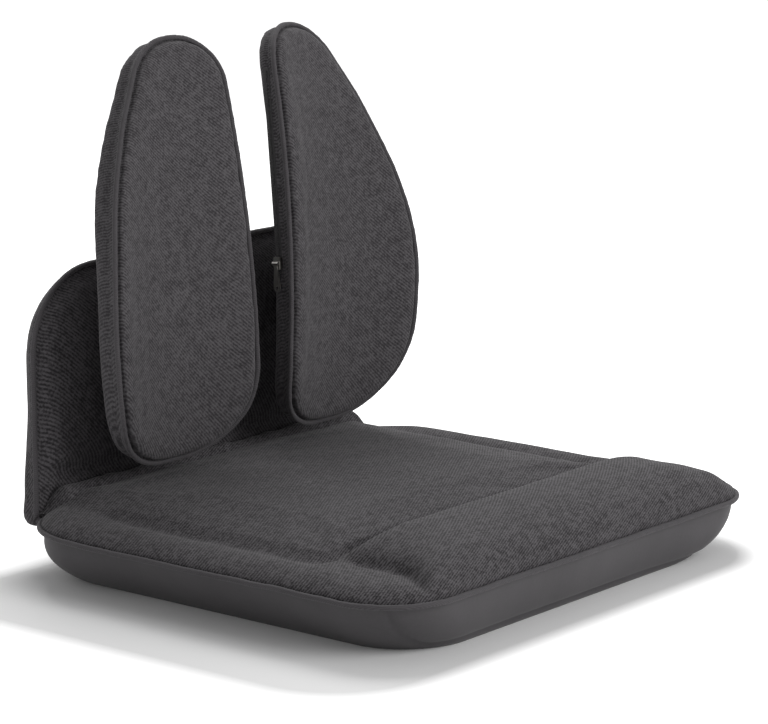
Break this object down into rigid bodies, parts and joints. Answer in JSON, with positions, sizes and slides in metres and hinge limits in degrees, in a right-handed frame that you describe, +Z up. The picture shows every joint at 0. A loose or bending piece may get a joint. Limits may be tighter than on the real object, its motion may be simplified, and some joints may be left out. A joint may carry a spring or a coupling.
{
  "type": "folding floor chair",
  "caption": "Legless floor chair: padded seat with front roll, short back panel on a reclining hinge, and split upright pads on rubber swivels.",
  "frame": {"origin": "on the floor under the middle of the seat", "axes": "+X to the right half, +Z up; the front of the seat faces -Y"},
  "size_m": [0.49, 0.4351, 0.4237],
  "materials": {
    "cloth": "woven twill",
    "base_cloth": "smooth woven",
    "piping": "corded edge",
    "foam": "open-cell foam",
    "frame_steel": "satin black",
    "zinc_steel": "zinc plated",
    "shell_plastic": "moulded",
    "bush_rubber": "matt",
    "zip_tape": "woven tape",
    "zip_metal": "dark nickel"
  },
  "bodies": {
    "seat": {"seat_frame": "frame_steel", "seat_cross_tubes": "frame_steel", "seat_foam": "foam", "seat_top_cover": "cloth", "seat_lower_cover": "base_cloth", "seat_piping": "piping", "hinge_gusset": "cloth", "recliner_plate_right": "zinc_steel", "recliner_plate_left": "zinc_steel", "recliner_pin_right": "zinc_steel", "recliner_pin_left": "zinc_steel"},
    "back": {"back_frame": "frame_steel", "pad_support_plate": "frame_steel", "back_foam": "foam", "back_front_cover": "cloth", "back_rear_cover": "cloth", "back_piping": "piping", "recliner_arm_right": "zinc_steel", "recliner_arm_left": "zinc_steel", "pawl_pin_right": "zinc_steel", "pawl_pin_left": "zinc_steel", "swivel_barrel_right": "frame_steel", "swivel_barrel_left": "frame_steel", "swivel_bushes_right": "bush_rubber", "swivel_bushes_left": "bush_rubber"},
    "pad_right": {"pad_shell_right": "shell_plastic", "pad_foam_right": "foam", "pad_front_cover_right": "cloth", "pad_rear_cover_right": "cloth", "pad_piping_right": "piping", "pad_zip_right": "zip_tape", "swivel_saddle_right": "frame_steel", "saddle_screws_right": "zinc_steel", "swivel_pin_right": "zinc_steel"},
    "pawl_right": {"recliner_pawl_right": "zinc_steel"},
    "slider_right": {"zip_slider_right": "zip_metal"},
    "pull_right": {"zip_pull_right": "zip_metal"},
    "pad_left": {"pad_shell_left": "shell_plastic", "pad_foam_left": "foam", "pad_front_cover_left": "cloth", "pad_rear_cover_left": "cloth", "pad_piping_left": "piping", "pad_zip_left": "zip_tape", "swivel_saddle_left": "frame_steel", "saddle_screws_left": "zinc_steel", "swivel_pin_left": "zinc_steel"},
    "pawl_left": {"recliner_pawl_left": "zinc_steel"},
    "slider_left": {"zip_slider_left": "zip_metal"},
    "pull_left": {"zip_pull_left": "zip_metal"}
  },
  "joints": [
    {"name": "back_recline", "type": "hinge", "parent": "seat", "child": "back", "pos_m": [0, 0.21805, 0.046], "axis": [-1, 0, 0], "range_deg": [-8, 90]},
    {"name": "pad_swivel_right", "type": "hinge", "parent": "back", "child": "pad_right", "pos_m": [0.105, 0.17985, 0.18317], "axis": [0, 0.0323, 0.9995], "range_deg": [-8, 8], "stiffness_Nm_per_rad": 11},
    {"name": "recliner_pawl_right", "type": "hinge", "parent": "back", "child": "pawl_right", "pos_m": [0.1724, 0.21955, 0.0705], "axis": [1, 0, 0], "range_deg": [0, 10], "stiffness_Nm_per_rad": 0.02, "springref_deg": -17.19},
    {"name": "zip_slider_right", "type": "slide", "parent": "pad_right", "child": "slider_right", "axis": [0.0464, 0.1253, 0.991], "range_m": [0, 0.15]},
    {"name": "zip_pull_right", "type": "hinge", "parent": "slider_right", "child": "pull_right", "pos_m": [0.02146, 0.14245, 0.23051], "axis": [-0.0024, 0.9921, -0.1253], "range_deg": [0, 170]},
    {"name": "pad_swivel_left", "type": "hinge", "parent": "back", "child": "pad_left", "pos_m": [-0.105, 0.17985, 0.18317], "axis": [0, -0.0323, -0.9995], "range_deg": [-8, 8], "stiffness_Nm_per_rad": 11},
    {"name": "recliner_pawl_left", "type": "hinge", "parent": "back", "child": "pawl_left", "pos_m": [-0.1724, 0.21955, 0.0705], "axis": [1, 0, 0], "range_deg": [0, 10], "stiffness_Nm_per_rad": 0.02, "springref_deg": -17.19},
    {"name": "zip_slider_left", "type": "slide", "parent": "pad_left", "child": "slider_left", "axis": [-0.0464, 0.1253, 0.991], "range_m": [0, 0.15]},
    {"name": "zip_pull_left", "type": "hinge", "parent": "slider_left", "child": "pull_left", "pos_m": [-0.02146, 0.14245, 0.23051], "axis": [-0.0024, -0.9921, 0.1253], "range_deg": [0, 170]}
  ]
}
